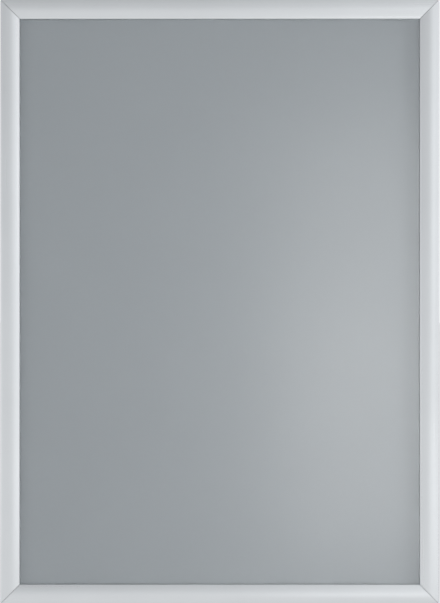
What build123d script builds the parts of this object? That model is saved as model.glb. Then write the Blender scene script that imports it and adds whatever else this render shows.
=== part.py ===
# Clip frame: a flip-open poster frame in aluminium, modelled upright as it hangs on a wall.
# X runs across, Z up, and the front faces -Y. The origin is the middle of the back plane.
# Each side of the frame is drawn as a cross-section in two distances:
# u, inwards from the frame's outer face, and v, away from the wall.
import os
from math import asin, atan2, degrees, sqrt

from build123d import *

# Poster format, and how far each cover laps over the sheets
sheet_width = 500.0
sheet_height = 700.0
sheet_grip = 8.0
profile_width = 23.0
frame_depth = 11.0

# Sheets
panel_thickness = 1.0
glazing_thickness = 0.5
sheet_edge_play = 0.4

# Cover section: a domed skin with a lip that ends in a foot
cover_wall = 1.1
crest_share = 0.36
dome_radius = 38.0
rim_radius = 1.0
edge_radius = 1.6
lip_play = 0.1
foot_width = 2.2
foot_height = 0.5

# Hinge: a bead along the cover, held in a socket along the base rail
bead_radius = 1.4
hinge_play = 0.05
socket_wall = 0.85
skin_play = 0.25
neck_wall = 0.85
neck_play = 0.15
neck_angle = 45.0
opening_angle = 90.0

# Leg of the cover, whose toe takes the springs
leg_share = 0.237
leg_wall = 1.0
toe_wall = 0.5
toe_overhang = 0.3
toe_play = 0.7

# Base rail section
web_wall = 1.2
rail_wall = 1.0
divider_wall = 1.2
divider_rise = 0.7
rail_inset = 1.0
key_channel_height = 2.0
catch_wall = 0.6
catch_lip = 0.6

# Mitres: how far each end stands back from the corner's diagonal, along the side
cover_mitre_setback = 0.25
rail_mitre_setback = 0.05
hinge_mitre_relief = 2.5
overrun = 2.0

# Leaf springs
spring_thickness = 0.4
spring_width = 22.0
spring_play = 0.1
spring_headroom = 0.8
spring_end_distance = 110.0
springs_on_long_side = 3
springs_on_short_side = 2

# Corner keys
key_arm = 45.0
key_play = 0.1
key_chamfer = 1.5

# Wall screws, two in each upright rail
screw_hole_radius = 2.25
screw_sink_radius = 2.95
screw_spacing_height = 560.0

# Outside size
outer_width = sheet_width - 2 * sheet_grip + 2 * profile_width
outer_height = sheet_height - 2 * sheet_grip + 2 * profile_width
half_width = outer_width / 2
half_height = outer_height / 2

# Levels above the wall
shelf_bottom = web_wall + key_channel_height
shelf_top = shelf_bottom + rail_wall
panel_top = shelf_top + panel_thickness
glazing_top = panel_top + glazing_thickness
lip_bottom = glazing_top + lip_play
divider_top = glazing_top + divider_rise

# Dome of the cover: one wide arc, rounded off inside the rim circle and the edge circle
dome = Vector(crest_share * profile_width, frame_depth - dome_radius)


def under_dome(u, radius):
    """Centre of a circle at u that touches the dome from below."""
    return Vector(u, dome.Y + sqrt((dome_radius - radius) ** 2 - (u - dome.X) ** 2))


rim = under_dome(rim_radius, rim_radius)
edge = under_dome(profile_width - edge_radius, edge_radius)

# Hinge: the socket is flush with the outer face, and the cover's rim lies over it, so that an
# open cover's rim hangs outside the rail, and two open covers pass each other at their mitre
bead_seat = bead_radius + hinge_play
socket_radius = bead_seat + socket_wall
clear_radius = socket_radius + skin_play
hinge = Vector(socket_radius, rim.Y + rim_radius - cover_wall - clear_radius)
neck_margin = degrees(asin(neck_wall / 2 / bead_seat) + neck_play / bead_seat)
socket_start = neck_angle + opening_angle + neck_margin
socket_sweep = 360 - opening_angle - 2 * neck_margin

# Base rail places
divider_inner_u = profile_width - sheet_grip - sheet_edge_play
divider_outer_u = divider_inner_u - divider_wall
rail_inner_u = profile_width - rail_inset
catch_front_u = divider_outer_u - spring_thickness - 2 * spring_play - catch_wall
screw_u = (hinge.X + socket_radius + catch_front_u) / 2

# Leg and toe of the cover
leg_outer_u = leg_share * profile_width - leg_wall / 2
leg_inner_u = leg_outer_u + leg_wall
toe_bottom_v = web_wall + toe_play
toe_top_v = toe_bottom_v + toe_wall

# Spring places: an upturned U, from the cover's toe to the rail's catch
spring_left_u = leg_inner_u + spring_play + spring_thickness / 2
spring_right_u = divider_outer_u - spring_play - spring_thickness / 2
spring_left_v = toe_top_v + spring_play
spring_right_v = shelf_top + spring_play
spring_bend = (spring_right_u - spring_left_u) / 2
spring_bend_u = (spring_left_u + spring_right_u) / 2
spring_bend_v = frame_depth - cover_wall - spring_headroom - spring_bend - spring_thickness / 2
toe_end_u = spring_left_u + spring_thickness / 2 + toe_overhang

# Corner key places, measured in from the frame's outer faces
key_outer_u = divider_inner_u + key_play
key_inner_u = rail_inner_u - rail_wall - key_play
key_thickness = key_channel_height - 2 * key_play


def bearing(start, end):
    """Direction from one point to another, in degrees from the u axis."""
    return degrees(atan2(end.Y - start.Y, end.X - start.X))


def polar(centre, radius, angle):
    """Point at a distance and direction from a centre."""
    return centre + Vector(radius, 0).rotate(Axis.Z, angle)


dome_start = bearing(dome, rim)
dome_end = bearing(dome, edge)

# Arcs of the skin that have an inner side too: centre, outer radius, start and end angle
skin = [
    (dome, dome_radius, dome_start, dome_end),
    (edge, edge_radius, dome_end, 0),
]

# The neck runs from the hinge axis to the middle of the skin
neck_ahead = Vector(1, 0).rotate(Axis.Z, neck_angle)
skin_radius = dome_radius - cover_wall / 2
to_hinge = hinge - dome
neck_half_chord = sqrt(neck_ahead.dot(to_hinge) ** 2 - to_hinge.length**2 + skin_radius**2)
neck_length = neck_half_chord - neck_ahead.dot(to_hinge)

# The leg runs up into the skin over it
leg_centre_u = leg_outer_u + leg_wall / 2
leg_top_v = dome.Y + sqrt(skin_radius**2 - (leg_centre_u - dome.X) ** 2)

# Sides: name, corner where the section is drawn, direction inwards, length, number of springs
sides = [
    ("left", (-half_width, 0, half_height), (1, 0, 0), outer_height, springs_on_long_side),
    ("top", (half_width, 0, half_height), (0, 0, -1), outer_width, springs_on_short_side),
    ("right", (half_width, 0, -half_height), (-1, 0, 0), outer_height, springs_on_long_side),
    ("bottom", (-half_width, 0, -half_height), (0, 0, 1), outer_width, springs_on_short_side),
]
away_from_wall = Vector(0, -1, 0)


def section_plane(corner, inwards):
    """Plane of a side's cross-section at its first corner, with u and v as its axes."""
    return Plane(origin=corner, x_dir=inwards, z_dir=Vector(*inwards).cross(away_from_wall))


def front_plane(corner, inwards):
    """Plane in the wall, with u as its first axis, and the side running down its second."""
    return Plane(origin=corner, x_dir=inwards, z_dir=away_from_wall)


def bar(u_low, v_low, u_high, v_high):
    """Adds a rectangle between two corners to the sketch."""
    with Locations((u_low, v_low)):
        Rectangle(u_high - u_low, v_high - v_low, align=(Align.MIN, Align.MIN))


def keep_mitred(plane, length, setback, height):
    """Keeps what lies between the two diagonals of a side, up to a height."""
    low = -overrun
    high = profile_width + overrun
    with BuildSketch(plane) as outline:
        Polygon(
            (low, -low - setback),
            (high, -high - setback),
            (high, high + setback - length),
            (low, low + setback - length),
            align=None,
        )
    extrude(outline.sketch, amount=height, mode=Mode.INTERSECT)


def relieve_hinge(plane, length):
    """Cuts the bead and the leg back from both mitres, under the skin."""
    back = cover_mitre_setback + hinge_mitre_relief
    with BuildSketch(plane) as relief:
        for end, way in [(0, 1), (-length, -1)]:
            Polygon(
                (0, end + way * overrun),
                (catch_front_u, end + way * overrun),
                (catch_front_u, end - way * (catch_front_u + back)),
                (0, end - way * back),
                align=None,
            )
    extrude(relief.sketch, amount=hinge.Y + bead_seat, mode=Mode.SUBTRACT)


def spring_centres(length, count):
    """Places of the springs along a side, evenly spaced between the two end distances."""
    step = (length - 2 * spring_end_distance) / (count - 1)
    return [spring_end_distance + step * number for number in range(count)]


os.makedirs("parts", exist_ok=True)

for name, corner, inwards, length, spring_count in sides:
    section = section_plane(corner, inwards)
    front = front_plane(corner, inwards)

    # Base rail: side wall with the hinge socket, back web, spring catch, shelf and key channel
    with BuildPart() as base_rail:
        with BuildSketch(section):
            bar(0, 0, rail_inner_u, web_wall)
            bar(0, 0, socket_wall, hinge.Y)
            bar(divider_outer_u, 0, divider_inner_u, divider_top)
            bar(divider_outer_u, shelf_bottom, rail_inner_u, shelf_top)
            bar(rail_inner_u - rail_wall, 0, rail_inner_u, shelf_top)
            bar(catch_front_u, shelf_top - catch_wall, divider_outer_u, shelf_top)
            bar(catch_front_u, shelf_top - catch_wall, catch_front_u + catch_wall, shelf_top + catch_lip)
            with BuildLine():
                socket_inside = CenterArc(hinge, bead_seat, socket_start, socket_sweep)
                socket_outside = CenterArc(hinge, socket_radius, socket_start, socket_sweep)
                Line(socket_inside @ 0, socket_outside @ 0)
                Line(socket_inside @ 1, socket_outside @ 1)
            make_face()
        extrude(amount=length)
        keep_mitred(front, length, rail_mitre_setback, frame_depth)
        if inwards[0]:
            first_hole = (length - screw_spacing_height) / 2
            with Locations(front.offset(web_wall)):
                with Locations((screw_u, -first_hole), (screw_u, first_hole - length)):
                    CounterSinkHole(screw_hole_radius, screw_sink_radius, web_wall)
    base_rail.part.label = f"base_rail_{name}"
    export_step(base_rail.part, f"parts/base_rail_{name}.step")

    # Cover: domed skin with a lip over the sheets, a hinge bead on its neck, and a leg with a toe
    with BuildPart() as snap_cover:
        with BuildSketch(section):
            with BuildLine():
                rim_start = CenterArc(rim, rim_radius, 180, dome_start - 180)
                for centre, radius, start, end in skin:
                    CenterArc(centre, radius, start, end - start)
                Polyline(
                    (profile_width, edge.Y),
                    (profile_width, lip_bottom),
                    (profile_width - foot_width, lip_bottom),
                    (profile_width - foot_width, lip_bottom + foot_height),
                    (profile_width - cover_wall, edge.Y),
                )
                for centre, radius, start, end in skin:
                    CenterArc(centre, radius - cover_wall, start, end - start)
                Line(rim_start @ 0, polar(dome, dome_radius - cover_wall, dome_start))
            make_face()
            with Locations(hinge):
                Rectangle(hinge.X, clear_radius, align=(Align.MAX, Align.MIN), mode=Mode.SUBTRACT)
                Circle(clear_radius, mode=Mode.SUBTRACT)
                Circle(bead_radius)
            with Locations(Location(tuple(hinge), neck_angle)):
                Rectangle(neck_length, neck_wall, align=(Align.MIN, Align.CENTER))
            bar(leg_outer_u, toe_bottom_v, leg_inner_u, leg_top_v)
            bar(leg_outer_u, toe_bottom_v, toe_end_u, toe_top_v)
        extrude(amount=length)
        keep_mitred(front, length, cover_mitre_setback, frame_depth + overrun)
        relieve_hinge(front, length)
    snap_cover.part.label = f"snap_cover_{name}"
    export_step(snap_cover.part, f"parts/snap_cover_{name}.step")

    # Leaf springs of this side
    for number, centre in enumerate(spring_centres(length, spring_count), start=1):
        with BuildPart() as spring:
            with BuildSketch(section.offset(centre - spring_width / 2)):
                with BuildLine():
                    half = spring_thickness / 2
                    CenterArc((spring_bend_u, spring_bend_v), spring_bend + half, 0, 180)
                    CenterArc((spring_bend_u, spring_bend_v), spring_bend - half, 0, 180)
                    for leaf_u, leaf_v in [
                        (spring_left_u, spring_left_v),
                        (spring_right_u, spring_right_v),
                    ]:
                        Polyline(
                            (leaf_u - half, spring_bend_v),
                            (leaf_u - half, leaf_v),
                            (leaf_u + half, leaf_v),
                            (leaf_u + half, spring_bend_v),
                        )
                make_face()
            extrude(amount=spring_width)
        spring.part.label = f"spring_{name}_{number}"
        export_step(spring.part, f"parts/spring_{name}_{number}.step")

# Corner keys: flat angles that slide into the channels of two rails
for name, across, upright in [
    ("top_left", -1, 1),
    ("top_right", 1, 1),
    ("bottom_left", -1, -1),
    ("bottom_right", 1, -1),
]:
    key_end = key_outer_u + key_arm
    key_points = [
        (key_outer_u, key_outer_u),
        (key_end - key_chamfer, key_outer_u),
        (key_end, key_outer_u + key_chamfer),
        (key_end, key_inner_u - key_chamfer),
        (key_end - key_chamfer, key_inner_u),
        (key_inner_u, key_inner_u),
        (key_inner_u, key_end - key_chamfer),
        (key_inner_u - key_chamfer, key_end),
        (key_outer_u + key_chamfer, key_end),
        (key_outer_u, key_end - key_chamfer),
    ]
    with BuildPart() as corner_key:
        with BuildSketch(Plane.XZ.offset(web_wall + key_play)):
            Polygon(
                *[(across * (half_width - a), upright * (half_height - b)) for a, b in key_points],
                align=None,
            )
        extrude(amount=key_thickness)
    corner_key.part.label = f"corner_key_{name}"
    export_step(corner_key.part, f"parts/corner_key_{name}.step")

# Back panel, lying on the rails' shelves
with BuildPart() as back_panel:
    with BuildSketch(Plane.XZ.offset(shelf_top)):
        Rectangle(sheet_width, sheet_height)
    extrude(amount=panel_thickness)
back_panel.part.label = "back_panel"
export_step(back_panel.part, "parts/back_panel.step")

# Clear anti-glare sheet, lying on the back panel under the covers' feet
with BuildPart() as clear_sheet:
    with BuildSketch(Plane.XZ.offset(panel_top)):
        Rectangle(sheet_width, sheet_height)
    extrude(amount=glazing_thickness)
clear_sheet.part.label = "clear_sheet"
export_step(clear_sheet.part, "parts/clear_sheet.step")
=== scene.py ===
# %% [markdown]
# # A flip-open clip frame
#
# The object is a poster frame in silver anodised aluminium. Four base rails are joined by flat
# corner keys. On each rail sits a domed cover, which turns in a round socket along the outer edge
# and is held shut by leaf springs. A grey board and a thin clear anti-glare sheet lie under the
# covers' lips.
#
# The CAD model already has every piece, but its curves are coarse facets, because it is made for
# size and motion. In this lesson each piece is made again as a smooth mesh in the same place, and
# then gets its finish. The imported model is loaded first, as the fixed frame that everything rides
# on.

# %% Load the frame
import math

import bmesh
import bpy
from mathutils import Matrix, Vector


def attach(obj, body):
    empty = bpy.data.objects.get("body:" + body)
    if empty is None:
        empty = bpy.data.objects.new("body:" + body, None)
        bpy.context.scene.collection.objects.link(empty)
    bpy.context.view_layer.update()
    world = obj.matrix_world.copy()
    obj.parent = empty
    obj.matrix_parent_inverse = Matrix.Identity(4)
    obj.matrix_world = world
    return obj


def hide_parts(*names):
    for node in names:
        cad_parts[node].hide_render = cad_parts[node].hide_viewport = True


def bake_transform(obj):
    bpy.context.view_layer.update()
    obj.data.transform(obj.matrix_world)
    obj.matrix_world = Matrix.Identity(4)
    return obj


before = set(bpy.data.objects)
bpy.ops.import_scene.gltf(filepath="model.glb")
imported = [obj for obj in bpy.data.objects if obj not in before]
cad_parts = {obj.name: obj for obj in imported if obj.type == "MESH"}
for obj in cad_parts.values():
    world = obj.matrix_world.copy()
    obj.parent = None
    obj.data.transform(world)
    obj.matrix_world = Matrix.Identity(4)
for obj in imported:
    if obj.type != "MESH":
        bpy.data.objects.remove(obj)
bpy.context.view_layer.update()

# %% [markdown]
# ## Sizes
#
# Aluminium profiles are drawn as a cross-section and then pushed through a die, so one section
# gives the whole length. The sizes below are the section's, in millimetres, as on a maker's
# drawing. The section has two distances: u goes inwards from the frame's outer face, and v away
# from the wall. Blender works in metres here, so every length is multiplied by mm at the moment a
# mesh is made.

# %% Sizes of the frame and its levels
mm = 0.001
half_width, half_height = 265.0, 365.0
profile_width = 23.0
web_wall, rail_wall, divider_wall = 1.2, 1.0, 1.2
shelf_bottom, shelf_top, panel_top, glazing_top = 3.2, 4.2, 5.2, 5.7
divider_inner_u, divider_top = 14.6, 6.4
rail_inner_u = 22.0
print("window in mm:", 2 * (half_width - profile_width), "by", 2 * (half_height - profile_width))

# %% [markdown]
# ## Drawing a section
#
# A section is a closed list of points. Arcs are cut into chords so short that none stands off the
# true curve by more than a few thousandths of a millimetre. A die never leaves a knife edge
# either, so every sharp corner gets a small radius. Those small radii are what catch the light on
# real aluminium, and they are the main thing that a plain CAD model lacks.

# %% Points on arcs
chord_error = 0.003


def on_circle(centre, radius, angle):
    """Point at a distance and direction, in degrees, from a centre."""
    turn = math.radians(angle)
    return centre + Vector((math.cos(turn), math.sin(turn))) * radius


def arc(centre, radius, start, end):
    """Points along a circle from one direction to another, both in degrees."""
    widest = 2 * math.degrees(math.acos(1 - chord_error / radius))
    count = max(2, math.ceil(abs(end - start) / widest))
    return [on_circle(centre, radius, start + (end - start) * n / count) for n in range(count + 1)]


def bearing(start, end):
    """Direction from one point to another, in degrees from the u axis."""
    return math.degrees(math.atan2(end.y - start.y, end.x - start.x))


print("chords in a quarter of a 1.4 mm circle:", len(arc(Vector((0, 0)), 1.4, 0, 90)) - 1)

# %% Rounding the corners of a section
nearly_straight = math.radians(160)
corner_steps = 4
longest_reach_share = 0.45


def soften(outline, radius):
    """Gives every sharp corner of a closed outline a small radius, as a die leaves it."""
    soft = []
    befores, afters = outline[-1:] + outline[:-1], outline[1:] + outline[:1]
    for before, corner, after in zip(befores, outline, afters):
        back, ahead = before - corner, after - corner
        opening = back.angle(ahead)
        if opening > nearly_straight:
            soft.append(corner)
            continue
        half_tangent = math.tan(opening / 2)
        reach = min(radius / half_tangent, longest_reach_share * min(back.length, ahead.length))
        middle = (back.normalized() + ahead.normalized()).normalized()
        centre = corner + middle * (reach / math.cos(opening / 2))
        first = corner + back.normalized() * reach - centre
        last = corner + ahead.normalized() * reach - centre
        start = math.atan2(first.y, first.x)
        sweep = math.remainder(math.atan2(last.y, last.x) - start, math.tau)
        for step in range(corner_steps + 1):
            turn = math.degrees(start + sweep * step / corner_steps)
            soft.append(on_circle(centre, first.length, turn))
    return soft


def points(*pairs):
    """Section points from pairs of u and v."""
    return [Vector(pair) for pair in pairs]


square = points((0, 0), (9, 0), (9, 9), (0, 9))
print("a square with soft corners has", len(soften(square, 0.2)), "points")

# %% [markdown]
# ## The cover's section
#
# The skin is one wide, flat arc, highest a third of the way in. At the outside it is rounded off
# to a narrow rim, and at the inside it turns down to a lip. Both small circles touch the wide arc
# from below, so light runs over the whole dome without a break. Under the skin are a neck with the
# round hinge bead, and a leg whose toe takes the springs.

# %% Dome of the cover
cover_wall = 1.1
dome, dome_radius = Vector((8.28, -27.0)), 38.0
rim_radius, edge_radius = 1.0, 1.6


def under_dome(u, radius):
    """Centre of a circle at u that touches the dome from below."""
    return Vector((u, dome.y + math.sqrt((dome_radius - radius) ** 2 - (u - dome.x) ** 2)))


rim = under_dome(rim_radius, rim_radius)
edge = under_dome(profile_width - edge_radius, edge_radius)
dome_start, dome_end = bearing(dome, rim), bearing(dome, edge)
print("slopes of the dome in degrees:", round(dome_start - 90, 1), round(90 - dome_end, 1))

# %% Hinge, leg and foot of the cover
bead_radius, bead_seat, socket_radius, clear_radius = 1.4, 1.45, 2.3, 2.55
hinge = Vector((socket_radius, rim.y + rim_radius - cover_wall - clear_radius))
neck_ahead = Vector((1, 1)).normalized()
neck_half = 0.425
neck_side = Vector((1, -1)).normalized() * neck_half
leg_outer_u, leg_inner_u = 4.95, 5.95
toe_bottom_v, toe_top_v, toe_end_u = 1.9, 2.4, 6.75
lip_bottom, foot_width, foot_height = 5.8, 2.2, 0.5
inside_radius = dome_radius - cover_wall


def crossing(start, ahead, centre, radius):
    """Far point where a line meets a circle."""
    to_start = start - centre
    middle = -ahead.dot(to_start)
    return start + ahead * (middle + math.sqrt(middle**2 - to_start.length_squared + radius**2))


def down_to(line_point, u):
    """Point of the neck's 45 degree side at a given u."""
    return Vector((u, line_point.y + u - line_point.x))


# %% The cover's outline
def cover_outline():
    """Section of a cover: over the dome, round the foot, and back under the skin."""
    outline = arc(rim, rim_radius, 180, dome_start)
    outline += arc(dome, dome_radius, dome_start, dome_end)[1:]
    outline += arc(edge, edge_radius, dome_end, 0)[1:]
    foot_u = profile_width - foot_width
    outline += points((profile_width, lip_bottom), (foot_u, lip_bottom))
    outline += points((foot_u, lip_bottom + foot_height))
    outline += arc(edge, edge_radius - cover_wall, 0, dome_end)[:-1]
    lower, upper = hinge + neck_side, hinge - neck_side
    gusset = crossing(lower, neck_ahead, dome, inside_radius)
    outline += arc(dome, inside_radius, dome_end, bearing(dome, gusset))
    outline.append(down_to(lower, leg_inner_u))
    outline += points((leg_inner_u, toe_top_v), (toe_end_u, toe_top_v))
    outline += points((toe_end_u, toe_bottom_v), (leg_outer_u, toe_bottom_v))
    outline.append(down_to(lower, leg_outer_u))
    first = bearing(hinge, crossing(lower, neck_ahead, hinge, bead_radius))
    last = bearing(hinge, crossing(upper, neck_ahead, hinge, bead_radius))
    outline += arc(hinge, bead_radius, first, last - 360)
    root = crossing(upper, neck_ahead, dome, inside_radius)
    outline += arc(dome, inside_radius, bearing(dome, root), dome_start)
    return outline


die_radius = 0.15
cover_section = soften(cover_outline(), die_radius)
print("cover section:", len(cover_section), "points")

# %% [markdown]
# ## The rail's section
#
# The base rail is the part that is screwed to the wall. Its outer wall curls into the hinge
# socket, open at the top for the bead's neck. Further in come the floor with a fine groove that
# shows where to drill, a catch for the springs, and a step that carries the board over a closed
# channel for the keys.

# %% The rail's outline
catch_front_u, catch_wall, catch_lip = 12.2, 0.6, 0.6
screw_u = 8.4
groove_half, groove_depth = 0.25, 0.15
socket_wall = 0.85
socket_first, socket_last = 157.97, 382.03


def rail_outline():
    """Section of a base rail, without its key channel."""
    divider_outer_u = divider_inner_u - divider_wall
    wall_meets_socket = math.sqrt(socket_radius**2 - (socket_radius - socket_wall) ** 2)
    wall_end = Vector((socket_wall, hinge.y - wall_meets_socket))
    outline = points((0, 0), (rail_inner_u, 0))
    outline += points((rail_inner_u, shelf_top), (divider_inner_u, shelf_top))
    outline += points((divider_inner_u, divider_top), (divider_outer_u, divider_top))
    outline += points((divider_outer_u, shelf_top), (catch_front_u + catch_wall, shelf_top))
    outline += points((catch_front_u + catch_wall, shelf_top + catch_lip))
    outline += points((catch_front_u, shelf_top + catch_lip))
    outline += points((catch_front_u, shelf_top - catch_wall))
    outline += points((divider_outer_u, shelf_top - catch_wall), (divider_outer_u, web_wall))
    outline += points((screw_u + groove_half, web_wall), (screw_u, web_wall - groove_depth))
    outline += points((screw_u - groove_half, web_wall), (socket_wall, web_wall))
    outline += arc(hinge, socket_radius, bearing(hinge, wall_end) + 360, socket_last)
    outline += arc(hinge, bead_seat, socket_last, socket_first)
    outline += arc(hinge, socket_radius, socket_first, 180)
    return outline


rail_section = soften(rail_outline(), die_radius)
channel_section = points(
    (divider_inner_u, web_wall),
    (rail_inner_u - rail_wall, web_wall),
    (rail_inner_u - rail_wall, shelf_bottom),
    (divider_inner_u, shelf_bottom),
)
print("rail section:", len(rail_section), "points")

# %% [markdown]
# ## From section to bar
#
# Each side of the frame has its own axes: x inwards, y along the side and z away from the wall. A
# bar is made in those axes and its object is turned into place. That keeps the mesh simple, and
# the finish can later run along y on all four sides with one material. The mitre comes free: a
# point that lies u further in starts u further along.

# %% Bars with mitred or square ends
sides = {
    "left": ((-half_width, -half_height), (1, 0), 2 * half_height),
    "top": ((-half_width, half_height), (0, -1), 2 * half_width),
    "right": ((half_width, half_height), (-1, 0), 2 * half_height),
    "bottom": ((half_width, -half_height), (0, 1), 2 * half_width),
}


def side_axes(side):
    """Matrix from a side's own axes to the frame's."""
    (x, z), (inward_x, inward_z), _ = sides[side]
    inwards, outwards = Vector((inward_x, 0, inward_z)), Vector((0, -1, 0))
    turn = Matrix((inwards, outwards.cross(inwards), outwards)).transposed().to_4x4()
    return Matrix.Translation((x * mm, 0, z * mm)) @ turn


def new_piece(name, mesh):
    """Blender object for a finished bmesh."""
    bmesh.ops.recalc_face_normals(mesh, faces=mesh.faces)
    data = bpy.data.meshes.new(name)
    mesh.to_mesh(data)
    mesh.free()
    piece = bpy.data.objects.new(name, data)
    bpy.context.scene.collection.objects.link(piece)
    return piece


def solid(name, rings):
    """Piece whose sides run from ring to ring of places in mm, with a face at both ends."""
    mesh = bmesh.new()
    loops = [[mesh.verts.new([part * mm for part in place]) for place in ring] for ring in rings]
    for low, high in zip(loops, loops[1:]):
        for this in range(len(low)):
            after = (this + 1) % len(low)
            mesh.faces.new((low[this], low[after], high[after], high[this]))
    mesh.faces.new(loops[0])
    mesh.faces.new(loops[-1])
    return new_piece(name, mesh)


def bar(name, section, start, end, slant=0):
    """A section pushed from start to end along y. A slant of 1 mitres both ends."""
    near = [(p.x, start + slant * p.x, p.y) for p in section]
    far = [(p.x, end - slant * p.x, p.y) for p in section]
    return solid(name, [near, far])


# %% [markdown]
# ## Cutting and finishing a mesh
#
# Channels, screw holes and the cut-back hinge ends are cut with exact booleans, as a shop saws and
# drills a bar after it is extruded. Then a very small bevel breaks the sawn edges. Normals are
# weighted by face area, so the long flat faces stay flat to the eye right up to the bevels.

# %% Cut, break the edges and settle
edge_break = 0.1
sharp_angle = math.radians(35)


def settle(piece):
    """Makes the result of a piece's modifiers its own mesh."""
    graph = bpy.context.evaluated_depsgraph_get()
    made = bpy.data.meshes.new_from_object(
        piece.evaluated_get(graph), preserve_all_data_layers=True, depsgraph=graph
    )
    piece.modifiers.clear()
    piece.data = made
    return piece


def cut(piece, cutters):
    """Takes the cutters' shapes out of a piece."""
    for cutter in cutters:
        hollow = piece.modifiers.new("cut", "BOOLEAN")
        hollow.operation, hollow.solver, hollow.object = "DIFFERENCE", "EXACT", cutter
    settle(piece)
    for cutter in cutters:
        bpy.data.objects.remove(cutter)
    return piece


def break_edges(piece, width=edge_break):
    """Bevels the sharp edges slightly and smooths the shading."""
    bevel = piece.modifiers.new("edges", "BEVEL")
    bevel.width, bevel.segments, bevel.limit_method = width * mm, 2, "ANGLE"
    bevel.angle_limit, bevel.use_clamp_overlap = sharp_angle, False
    bevel.miter_outer = "MITER_SHARP"
    piece.data.shade_smooth()
    normals = piece.modifiers.new("normals", "WEIGHTED_NORMAL")
    normals.mode, normals.weight = "FACE_AREA", 100
    return settle(piece)


# %% [markdown]
# ## Anodised aluminium
#
# Anodising leaves aluminium satin and slightly cool. Two things keep it from looking like grey
# paint. The etched surface has an even, very fine grain, and the die leaves faint lines that run
# the whole length. Both are noise: the grain is even in all directions, and for the lines the
# coordinates are squeezed along y, so that each spot is drawn out into a streak. They act on the
# roughness and the height much more than on the colour, as on the real metal.

# %% Helpers for materials
micron = 0.000001


def new_material(name):
    """Empty node material with a principled shader."""
    material = bpy.data.materials.new(name)
    material.use_nodes = True
    return material, material.node_tree.nodes, material.node_tree.links


def set_inputs(node, **values):
    """Sets sockets by their names, with underscores for spaces."""
    for name, value in values.items():
        node.inputs[name.replace("_", " ")].default_value = value
    return node


def noise(nodes, links, vector, scale, detail=2.0, roughness=0.5):
    """Noise texture on some coordinates."""
    node = nodes.new("ShaderNodeTexNoise")
    set_inputs(node, Scale=scale, Detail=detail, Roughness=roughness)
    links.new(vector, node.inputs["Vector"])
    return node.outputs["Fac"]


def ramp(nodes, links, source, low, high, start=0.0, end=1.0):
    """Maps a value from one range to another, kept inside the second."""
    node = nodes.new("ShaderNodeMapRange")
    set_inputs(node, From_Min=start, From_Max=end, To_Min=low, To_Max=high)
    links.new(source, node.inputs["Value"])
    return node.outputs["Result"]


def tint(nodes, links, source, dark, light, start=0.3, end=0.7):
    """Colour that runs from dark to light with a value."""
    node = nodes.new("ShaderNodeValToRGB")
    node.color_ramp.elements[0].position, node.color_ramp.elements[1].position = start, end
    node.color_ramp.elements[0].color = (*dark, 1)
    node.color_ramp.elements[1].color = (*light, 1)
    links.new(source, node.inputs["Fac"])
    return node.outputs["Color"]


def relief(nodes, links, height, depth, strength=1.0, over=None):
    """Bump from a height value, if wanted over another bump."""
    node = nodes.new("ShaderNodeBump")
    set_inputs(node, Strength=strength, Distance=depth)
    links.new(height, node.inputs["Height"])
    if over is not None:
        links.new(over, node.inputs["Normal"])
    return node.outputs["Normal"]


def stretched(nodes, links, squeeze):
    """The piece's own coordinates, squeezed so that noise is drawn out."""
    place = nodes.new("ShaderNodeTexCoord")
    mapping = nodes.new("ShaderNodeMapping")
    set_inputs(mapping, Scale=squeeze)
    links.new(place.outputs["Object"], mapping.inputs["Vector"])
    return mapping.outputs["Vector"]


# %% The extruded finish
def extruded_finish(name, dark, light, roughness, line_depth):
    """Satin anodised metal with faint lines along y."""
    material, nodes, links = new_material(name)
    shader = nodes["Principled BSDF"]
    along = stretched(nodes, links, (1, 0.006, 1))
    even = stretched(nodes, links, (1, 1, 1))
    lines = noise(nodes, links, along, scale=2600, detail=3, roughness=0.6)
    bands = noise(nodes, links, along, scale=260)
    grain = noise(nodes, links, even, scale=7000)
    clouds = noise(nodes, links, even, scale=9, detail=3)
    set_inputs(shader, Metallic=1.0)
    links.new(tint(nodes, links, clouds, dark, light), shader.inputs["Base Color"])
    spread = 0.03
    streaky = ramp(nodes, links, bands, roughness - spread, roughness + spread, start=0.3, end=0.7)
    links.new(streaky, shader.inputs["Roughness"])
    ground = relief(nodes, links, grain, depth=4 * micron, strength=0.5)
    drawn = relief(nodes, links, lines, depth=line_depth, strength=0.5, over=ground)
    links.new(drawn, shader.inputs["Normal"])
    return material


cover_metal = extruded_finish(
    "satin_anodised_cover",
    dark=(0.805, 0.828, 0.847),
    light=(0.835, 0.858, 0.877),
    roughness=0.30,
    line_depth=4 * micron,
)
rail_metal = extruded_finish(
    "satin_anodised_rail",
    dark=(0.70, 0.718, 0.735),
    light=(0.75, 0.768, 0.785),
    roughness=0.42,
    line_depth=7 * micron,
)

# %% [markdown]
# The bars are sawn after anodising, so the cut faces are bare, brighter metal with the arcs that
# the saw blade leaves. They are seen at the mitres when a cover stands open.

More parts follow.
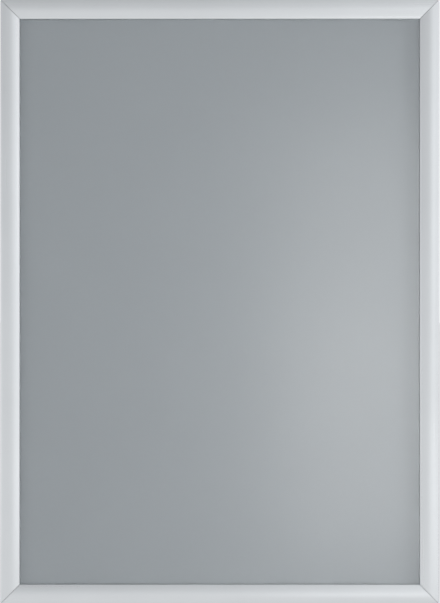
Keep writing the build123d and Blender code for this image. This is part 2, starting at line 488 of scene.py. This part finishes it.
# %% The sawn finish
def sawn_finish():
    """Bare aluminium with saw marks."""
    material, nodes, links = new_material("sawn_aluminium")
    shader = nodes["Principled BSDF"]
    set_inputs(shader, Metallic=1.0)
    even = stretched(nodes, links, (1, 1, 1))
    arcs = nodes.new("ShaderNodeTexWave")
    arcs.wave_type, arcs.rings_direction = "RINGS", "SPHERICAL"
    set_inputs(arcs, Scale=700.0, Distortion=1.5, Detail=2.0)
    away = nodes.new("ShaderNodeMapping")
    set_inputs(away, Location=(0.12, 0.05, -0.09))
    links.new(even, away.inputs["Vector"])
    links.new(away.outputs["Vector"], arcs.inputs["Vector"])
    patches = noise(nodes, links, even, scale=900, detail=3)
    patchy = tint(nodes, links, patches, dark=(0.70, 0.70, 0.70), light=(0.82, 0.82, 0.82))
    links.new(patchy, shader.inputs["Base Color"])
    links.new(ramp(nodes, links, patches, low=0.28, high=0.42), shader.inputs["Roughness"])
    scored = relief(nodes, links, arcs.outputs["Fac"], depth=20 * micron, strength=0.6)
    links.new(scored, shader.inputs["Normal"])
    return material


sawn_metal = sawn_finish()
faces_the_saw = 0.6


def finish_metal(piece, metal):
    """Extruded finish all round, and the sawn one on the cut ends."""
    piece.data.materials.clear()
    piece.data.materials.append(metal)
    piece.data.materials.append(sawn_metal)
    for face in piece.data.polygons:
        face.material_index = int(abs(face.normal.y) > faces_the_saw)
    return piece


# %% [markdown]
# ## The base rails
#
# A rail is sawn on both diagonals with next to no gap, so the four close up tight on their keys.
# The two uprights carry the countersunk holes for the wall screws. A hole is cut with a small
# turned shape: straight below, and a cone above for the screw's head.

# %% Screw holes
rail_setback = 0.05
screw_hole_radius, screw_sink_radius, sink_depth = 2.25, 2.95, 0.805
first_screw, second_screw = 85.0, 645.0
hole_steps = 64
overrun = 1.0


def screw_cutter(along):
    """Turned shape of a countersunk hole through the web."""
    rings = [
        (screw_hole_radius, -overrun),
        (screw_hole_radius, web_wall - sink_depth),
        (screw_sink_radius, web_wall),
        (screw_sink_radius, web_wall + overrun),
    ]
    turned = []
    for radius, height in rings:
        ring = []
        for step in range(hole_steps):
            place = on_circle(Vector((screw_u, along)), radius, 360 * step / hole_steps)
            ring.append((place.x, place.y, height))
        turned.append(ring)
    return solid("screw_cutter", turned)


# %% Make the four rails
def base_rail(side):
    """Rail of one side: a mitred bar with its key channel, and holes in the uprights."""
    length = sides[side][2]
    piece = bar(f"rail_{side}", rail_section, rail_setback, length - rail_setback, slant=1)
    cutters = [bar("channel", channel_section, -overrun, length + overrun)]
    if side in ("left", "right"):
        cutters += [screw_cutter(first_screw), screw_cutter(second_screw)]
    break_edges(cut(piece, cutters))
    finish_metal(piece, rail_metal)
    piece.matrix_world = side_axes(side)
    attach(piece, "frame")
    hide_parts(f"base_rail_{side}")
    return piece


for side in sides:
    rail = base_rail(side)
    print(rail.name, len(rail.data.polygons), "faces")

# %% [markdown]
# ## The snap covers
#
# The skins meet in hairline mitres, the thin dark lines at the photograph's corners. The bead and
# leg are cut back further, so that two neighbouring covers can stand open together. Each cover
# rides on its own body, which turns about the socket.

# %% Make the four covers
cover_setback = 0.25
hinge_relief = 2.5
relief_top = hinge.y + bead_seat


def hinge_end_cutter(end, way):
    """Prism that cuts the bead and leg back from one mitre."""
    back = cover_setback + hinge_relief
    plan = points(
        (-overrun, end - way * 2 * overrun),
        (catch_front_u, end - way * 2 * overrun),
        (catch_front_u, end + way * (catch_front_u + back)),
        (-overrun, end + way * (back - overrun)),
    )
    low = [(p.x, p.y, -overrun) for p in plan]
    high = [(p.x, p.y, relief_top) for p in plan]
    return solid("hinge_end_cutter", [low, high])


def snap_cover(side):
    """Cover of one side, on its own body."""
    length = sides[side][2]
    piece = bar(f"cover_{side}", cover_section, cover_setback, length - cover_setback, slant=1)
    cut(piece, [hinge_end_cutter(0, 1), hinge_end_cutter(length, -1)])
    finish_metal(break_edges(piece), cover_metal)
    piece.matrix_world = side_axes(side)
    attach(piece, f"cover_{side}")
    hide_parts(f"snap_cover_{side}")
    return piece


for side in sides:
    cover = snap_cover(side)
    print(cover.name, len(cover.data.polygons), "faces")

# %% [markdown]
# ## The leaf springs
#
# A strip of blued spring steel is bent into an upturned U. One foot stands in the rail's catch and
# the other on the cover's toe. When the cover turns, the toe carries its foot along, and past the
# dead point the spring flips the cover open. Here each spring is made once, in its shut shape and
# place, and is attached to no body.

# %% Blued spring steel
def steel_finish(name, dark, light, low, high):
    """Rolled steel strip with a mottled tint. Its roughness runs from low to high."""
    material, nodes, links = new_material(name)
    shader = nodes["Principled BSDF"]
    set_inputs(shader, Metallic=1.0)
    even = stretched(nodes, links, (1, 1, 1))
    mottle = noise(nodes, links, even, scale=420, detail=4, roughness=0.6)
    fine = noise(nodes, links, even, scale=5000)
    links.new(tint(nodes, links, mottle, dark, light), shader.inputs["Base Color"])
    links.new(ramp(nodes, links, fine, low, high), shader.inputs["Roughness"])
    rolled = relief(nodes, links, fine, depth=6 * micron, strength=0.4)
    links.new(rolled, shader.inputs["Normal"])
    return material


blued_steel = steel_finish(
    "blued_spring_steel", dark=(0.26, 0.28, 0.33), light=(0.32, 0.33, 0.36), low=0.25, high=0.4
)
zinc_steel = steel_finish(
    "zinc_plated_steel", dark=(0.56, 0.57, 0.58), light=(0.66, 0.67, 0.67), low=0.3, high=0.5
)

# %% Make the springs
spring_thickness, spring_width = 0.4, 22.0
spring_corner, spring_edge = 0.08, 0.06
spring_outer_u, spring_inner_u = 6.25, 13.1
toe_foot_v, catch_foot_v, bend_centre_v = 2.5, 4.3, 5.475
spring_places = {
    "left": (110.0, 365.0, 620.0),
    "right": (110.0, 365.0, 620.0),
    "top": (110.0, 420.0),
    "bottom": (110.0, 420.0),
}


def spring_outline():
    """Section of a bent leaf: an upturned U with legs of two lengths."""
    half = spring_thickness / 2
    centre = Vector(((spring_outer_u + spring_inner_u) / 2, bend_centre_v))
    bend = (spring_inner_u - spring_outer_u) / 2
    outline = points((spring_inner_u + half, catch_foot_v))
    outline += arc(centre, bend + half, 0, 180)
    outline += points((spring_outer_u - half, toe_foot_v), (spring_outer_u + half, toe_foot_v))
    outline += arc(centre, bend - half, 180, 0)
    outline += points((spring_inner_u - half, catch_foot_v))
    return outline


def leaf_spring(side, number, middle):
    """Spring that bends between the rail and the cover of its side."""
    first = middle - spring_width / 2
    outline = soften(spring_outline(), spring_corner)
    piece = bar(f"leaf_{side}_{number}", outline, first, first + spring_width)
    break_edges(piece, spring_edge)
    piece.data.materials.clear()
    piece.data.materials.append(blued_steel)
    axes = side_axes(side)
    piece.matrix_world = axes
    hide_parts(f"spring_{side}_{number}")
    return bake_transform(piece)


# The CAD counts each side's springs from its own first corner, which is this side's far end.
for side, places in spring_places.items():
    length = sides[side][2]
    for number, place in enumerate(places, start=1):
        leaf_spring(side, number, length - place)
print("springs:", sum(len(places) for places in spring_places.values()))

# %% [markdown]
# ## The corner keys
#
# A key is a flat steel angle, punched from plate and zinc plated. Its arms slide into the channels
# of two rails. It is an extruded outline again, this time lying in the plane of the wall.

# %% Make the keys
key_outer_u, key_inner_u, key_end_u, key_chamfer = 14.7, 20.9, 59.7, 1.5
key_low_v, key_high_v = 1.3, 3.1
key_corner, key_edge = 0.5, 0.15


def plate(name, outline, low_v, high_v):
    """Flat piece between two levels above the wall, from points in x and z."""
    back = [(p.x, -low_v, p.y) for p in outline]
    front = [(p.x, -high_v, p.y) for p in outline]
    return solid(name, [back, front])


def corner_key(name, across, upright):
    """Steel angle of one corner."""
    arm = points(
        (key_outer_u, key_outer_u),
        (key_end_u - key_chamfer, key_outer_u),
        (key_end_u, key_outer_u + key_chamfer),
        (key_end_u, key_inner_u - key_chamfer),
        (key_end_u - key_chamfer, key_inner_u),
        (key_inner_u, key_inner_u),
        (key_inner_u, key_end_u - key_chamfer),
        (key_inner_u - key_chamfer, key_end_u),
        (key_outer_u + key_chamfer, key_end_u),
        (key_outer_u, key_end_u - key_chamfer),
    )
    places = [(across * (half_width - p.x), upright * (half_height - p.y)) for p in arm]
    outline = points(*places)
    piece = plate(f"key_{name}", soften(outline, key_corner), key_low_v, key_high_v)
    break_edges(piece, key_edge)
    piece.data.materials.append(zinc_steel)
    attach(piece, "frame")
    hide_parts(f"corner_key_{name}")
    return piece


corners = {
    "top_left": (-1, 1),
    "top_right": (1, 1),
    "bottom_left": (-1, -1),
    "bottom_right": (1, -1),
}
for name, (across, upright) in corners.items():
    corner_key(name, across, upright)
print("keys:", len(corners))

# %% [markdown]
# ## The grey board
#
# The back panel is a smooth grey polystyrene board. It is plain, but not perfectly even: the sheet
# has a very faint mottle and a fine orange-peel surface from the rollers.

# %% Grey polystyrene
def board_finish():
    """Matt grey plastic sheet."""
    material, nodes, links = new_material("grey_polystyrene")
    shader = nodes["Principled BSDF"]
    even = stretched(nodes, links, (1, 1, 1))
    mottle = noise(nodes, links, even, scale=14, detail=4)
    peel = noise(nodes, links, even, scale=1400, detail=3)
    grey = tint(
        nodes, links, mottle, dark=(0.400, 0.427, 0.452), light=(0.413, 0.441, 0.466)
    )
    links.new(grey, shader.inputs["Base Color"])
    links.new(ramp(nodes, links, peel, low=0.5, high=0.62), shader.inputs["Roughness"])
    rollers = relief(nodes, links, peel, depth=10 * micron, strength=0.5)
    links.new(rollers, shader.inputs["Normal"])
    return material


# %% Make the board
sheet_half_width, sheet_half_height, sheet_corner = 250.0, 350.0, 1.0
gap_under_sheet, board_edge = 0.03, 0.12


def sheet_outline():
    """Rectangle of a sheet with softened corners."""
    across, upright = sheet_half_width, sheet_half_height
    outline = points((-across, -upright), (across, -upright))
    outline += points((across, upright), (-across, upright))
    return soften(outline, sheet_corner)


board = plate("grey_board", sheet_outline(), shelf_top, panel_top - gap_under_sheet)
break_edges(board, board_edge)
board.data.materials.append(board_finish())
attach(board, "frame")
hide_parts("back_panel")
print("board in mm:", [round(size * 1000, 1) for size in board.dimensions])

# %% [markdown]
# ## The anti-glare sheet
#
# The sheet over the board is half a millimetre of clear plastic whose surface is slightly rough. A
# smooth sheet would show a sharp picture of the room. The rough one smears a window into a wide,
# soft glow, which is the brighter patch on the right of the photograph. So the sheet is real clear
# plastic with a moderate roughness, and the glow comes from lamps and not from paint.

# %% Clear anti-glare plastic
def clear_finish():
    """Clear plastic with a finely embossed face."""
    material, nodes, links = new_material("clear_antiglare")
    shader = nodes["Principled BSDF"]
    even = stretched(nodes, links, (1, 1, 1))
    emboss = noise(nodes, links, even, scale=2500)
    set_inputs(shader, Base_Color=(0.97, 0.985, 0.99, 1), Transmission_Weight=1.0, IOR=1.5)
    links.new(ramp(nodes, links, emboss, low=0.26, high=0.32), shader.inputs["Roughness"])
    embossed = relief(nodes, links, emboss, depth=3 * micron, strength=0.3)
    links.new(embossed, shader.inputs["Normal"])
    return material


sheet_edge = 0.05
glazing = plate("clear_sheet_film", sheet_outline(), panel_top, glazing_top)
break_edges(glazing, sheet_edge)
glazing.data.materials.append(clear_finish())
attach(glazing, "frame")
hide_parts("clear_sheet")
print("sheet in mm:", [round(size * 1000, 1) for size in glazing.dimensions])

# %% [markdown]
# ## Floor, background and light
#
# The frame hangs over a plain pale floor. Most of the light comes from the background, which gets
# brighter to the right. Four weak soft lamps fill in: two at the right, one at the left and one
# low in front. The domed covers show it, because the slopes that face right are brightest and the
# one that faces up is darkest. The camera alone sees the background pale. The object, and what it
# mirrors, sees the graded light.

# %% Floor
def pale_rays(nodes, links):
    """1 for rays that show the background: the camera's, glossy and transmitted ones."""
    path = nodes.new("ShaderNodeLightPath")
    total = path.outputs["Is Camera Ray"]
    for other in ("Is Glossy Ray", "Is Transmission Ray"):
        add = nodes.new("ShaderNodeMath")
        add.operation = "MAXIMUM"
        links.new(total, add.inputs[0])
        links.new(path.outputs[other], add.inputs[1])
        total = add.outputs["Value"]
    return total


def floor_finish():
    """Pale floor that keeps a soft shadow: part of what is seen is its own pale colour."""
    material, nodes, links = new_material("pale_floor")
    set_inputs(nodes["Principled BSDF"], Base_Color=(0.80, 0.80, 0.80, 1), Roughness=0.9)
    pale = nodes.new("ShaderNodeEmission")
    set_inputs(pale, Color=(0.90, 0.905, 0.91, 1), Strength=0.92)
    share = ramp(nodes, links, pale_rays(nodes, links), low=0.0, high=0.75)
    mix = nodes.new("ShaderNodeMixShader")
    links.new(share, mix.inputs["Fac"])
    links.new(nodes["Principled BSDF"].outputs["BSDF"], mix.inputs[1])
    links.new(pale.outputs["Emission"], mix.inputs[2])
    links.new(mix.outputs["Shader"], nodes["Material Output"].inputs["Surface"])
    return material


floor_z = -0.75
floor_radius = 40.0
floor_steps = 96
mesh = bmesh.new()
directions = [360 * n / floor_steps for n in range(floor_steps)]
rim_places = [on_circle(Vector((0, 0)), floor_radius, direction) for direction in directions]
mesh.faces.new([mesh.verts.new((place.x, place.y, floor_z)) for place in rim_places])
floor = new_piece("studio_floor", mesh)
floor.data.materials.append(floor_finish())

# %% Background
light_tint = (1.0, 1.012, 1.025)
levels_across = [(-0.6, 0.42), (-0.25, 0.44), (0.0, 0.45), (0.25, 0.71), (0.6, 0.72)]
levels_upwards = [
    (-0.6, 0.10),
    (-0.3, 0.12),
    (0.0, 0.27),
    (0.25, 0.10),
    (0.45, 0.13),
    (0.65, 0.02),
]


def levels_along(nodes, links, source, levels):
    """Light that runs through given levels along one direction, from -1 to 1."""
    node = nodes.new("ShaderNodeValToRGB")
    stops = node.color_ramp.elements
    while len(stops) < len(levels):
        stops.new(0.5)
    for stop, (where, level) in zip(stops, levels):
        stop.position = (where + 1) / 2
        stop.color = (*[level * part for part in light_tint], 1)
    along = ramp(nodes, links, source, low=0.0, high=1.0, start=-1.0, end=1.0)
    links.new(along, node.inputs["Fac"])
    return node.outputs["Color"]


def pale_world():
    """Pale background, with its own light: brighter at the right, and dimmer overhead."""
    world = bpy.data.worlds.new("studio")
    world.use_nodes = True
    nodes, links = world.node_tree.nodes, world.node_tree.links
    place = nodes.new("ShaderNodeTexCoord")
    split = nodes.new("ShaderNodeSeparateXYZ")
    links.new(place.outputs["Generated"], split.inputs["Vector"])
    both = nodes.new("ShaderNodeVectorMath")
    both.operation = "ADD"
    links.new(levels_along(nodes, links, split.outputs["X"], levels_across), both.inputs[0])
    links.new(levels_along(nodes, links, split.outputs["Z"], levels_upwards), both.inputs[1])
    lights = nodes["Background"]
    links.new(both.outputs["Vector"], lights.inputs["Color"])
    lights.inputs["Strength"].default_value = 1.0
    seen = nodes.new("ShaderNodeBackground")
    set_inputs(seen, Color=(0.86, 0.865, 0.87, 1), Strength=1.0)
    path = nodes.new("ShaderNodeLightPath")
    mix = nodes.new("ShaderNodeMixShader")
    links.new(path.outputs["Is Camera Ray"], mix.inputs["Fac"])
    links.new(lights.outputs["Background"], mix.inputs[1])
    links.new(seen.outputs["Background"], mix.inputs[2])
    links.new(mix.outputs["Shader"], nodes["World Output"].inputs["Surface"])
    bpy.context.scene.world = world


pale_world()

# %% Lamps
def soft_lamp(name, place, target, width, height, level):
    """Soft lamp that faces a point. Its level is how bright its face looks, where 1 is white."""
    lamp = bpy.data.lights.new(name, "AREA")
    lamp.shape, lamp.size, lamp.size_y = "RECTANGLE", width, height
    lamp.energy = level * math.pi * width * height
    holder = bpy.data.objects.new(name, lamp)
    bpy.context.scene.collection.objects.link(holder)
    holder.location = place
    holder.rotation_euler = (Vector(target) - Vector(place)).to_track_quat("-Z", "Y").to_euler()
    holder.visible_camera = False
    return holder


# Each lamp: its name, its place, the point it faces, its width and height in metres, its level.
frame_middle = (0.0, 0.0, 0.0)
soft_lamp("window_beside", (1.7, -0.35, 0.0), frame_middle, 1.0, 1.2, 0.25)
soft_lamp("window_right", (0.75, -2.0, 0.1), frame_middle, 0.6, 1.4, 0.15)
soft_lamp("fill_left", (-1.5, -0.85, 0.0), frame_middle, 1.0, 1.2, 0.30)
soft_lamp("low_front", (0.8, -1.8, -0.58), (0.0, 0.0, -0.1), 1.3, 0.25, 0.44)

# %% [markdown]
# The glow on the anti-glare sheet comes from two brighter lamps, one above the other, between the
# camera and the frame's right half. On the metal they would burn out to white, so they are linked
# to the sheet alone, as a photographer holds a black card between a lamp and what it mustn't
# reach.

# %% The glare lamps
takes_glare = bpy.data.collections.new("takes_glare")
takes_glare.objects.link(glazing)
glare_tint = (1.0, 0.985, 0.965)
glare_lamps = [
    soft_lamp("glare_low", (0.30, -1.0, -0.30), (0.17, 0.0, -0.20), 0.34, 0.5, 2.84),
    soft_lamp("glare_high", (0.32, -1.0, 0.12), (0.19, 0.0, 0.08), 0.34, 0.5, 2.32),
]
for lamp in glare_lamps:
    lamp.data.color = glare_tint
    lamp.light_linking.receiver_collection = takes_glare
print("lamps for the glow:", len(glare_lamps))

# %% [markdown]
# Two narrow lamps stand low at the sides. Their light skims over the frame, so the covers' lips
# throw the soft dark bands along the left and right of the board. They light the board alone and
# pass through the sheet, because at that low angle the sheet would mirror them in views from the
# side. Their levels are far above those of the other lamps, since light that skims gives a face
# little.

# %% The low side lamps
board_alone = bpy.data.collections.new("board_alone")
board_alone.objects.link(board)
lets_through = bpy.data.collections.new("lets_through")
lets_through.objects.link(glazing)
lets_through.collection_objects[0].light_linking.link_state = "EXCLUDE"
side_lamps = [
    soft_lamp("skim_right", (2.6, -0.46, 0.0), (0.2, 0.0, 0.0), 0.3, 1.8, 23.8),
    soft_lamp("skim_left", (-2.2, -0.62, 0.0), (-0.2, 0.0, 0.0), 0.45, 1.8, 4.2),
]
for lamp in side_lamps:
    lamp.light_linking.receiver_collection = board_alone
    lamp.light_linking.blocker_collection = lets_through
print("lamps that skim the board:", len(side_lamps))

# %% [markdown]
# ## Camera
#
# The photograph is taken square on, from about 1.4 m, and the frame fills the picture. The lens
# follows from that: the frame's silhouette, which lies at the rims' height, spans about one pixel
# more than the picture's height, because the photograph crops the frame by that much.

# %% Camera
camera_distance = 1.4
picture_height = 603
silhouette_pixels = 603.9
# 0.3 mm to the right and up, so that the frame sits a quarter of a pixel to the left and low.
off_centre = 0.0003


def add_camera():
    """Camera square on to the frame, which fills the picture."""
    data = bpy.data.cameras.new("camera")
    data.sensor_width = 36.0
    shown_height = 2 * half_height * mm * picture_height / silhouette_pixels
    data.lens = data.sensor_width * (camera_distance - rim.y * mm) / shown_height
    camera = bpy.data.objects.new("camera", data)
    bpy.context.scene.collection.objects.link(camera)
    camera.location = (off_centre, -camera_distance, off_centre)
    camera.rotation_euler = (math.radians(90), 0, 0)
    bpy.context.scene.camera = camera
    print("lens in mm:", round(data.lens, 1))


add_camera()
bpy.context.scene.view_settings.view_transform = "Standard"
